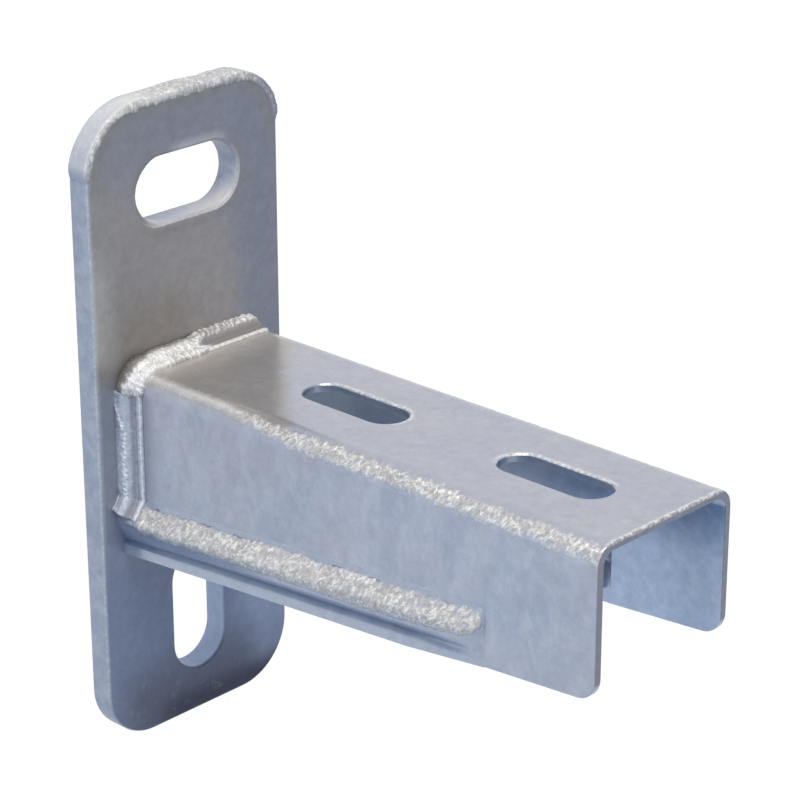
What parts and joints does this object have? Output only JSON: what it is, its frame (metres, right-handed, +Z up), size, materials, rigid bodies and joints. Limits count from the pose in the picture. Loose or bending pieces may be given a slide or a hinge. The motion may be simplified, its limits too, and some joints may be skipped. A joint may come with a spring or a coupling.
{
  "type": "cantilever strut arm",
  "caption": "Galvanised steel cantilever arm: a tapered folded channel with a slotted top and pressed side ribs, welded to a thick slotted wall plate.",
  "frame": {"origin": "middle of the wall plate's back face, in the plane that bears on the wall", "axes": "+X out of the wall along the arm, +Y to the right when facing the wall, +Z up"},
  "size_m": [0.1275, 0.05, 0.135],
  "materials": {
    "zinc_plate": "hot dip galvanised plate, satin blue grey with a faint cloudy spangle",
    "zinc_sheet": "hot dip galvanised sheet, satin light blue grey with a faint cloudy spangle",
    "zinc_weld": "zinc over a rippled weld bead, rough and warm grey"
  },
  "bodies": {
    "root": {"wall_plate": "zinc_plate", "channel_arm": "zinc_sheet", "top_weld": "zinc_weld", "left_weld": "zinc_weld", "right_weld": "zinc_weld"}
  },
  "joints": []
}
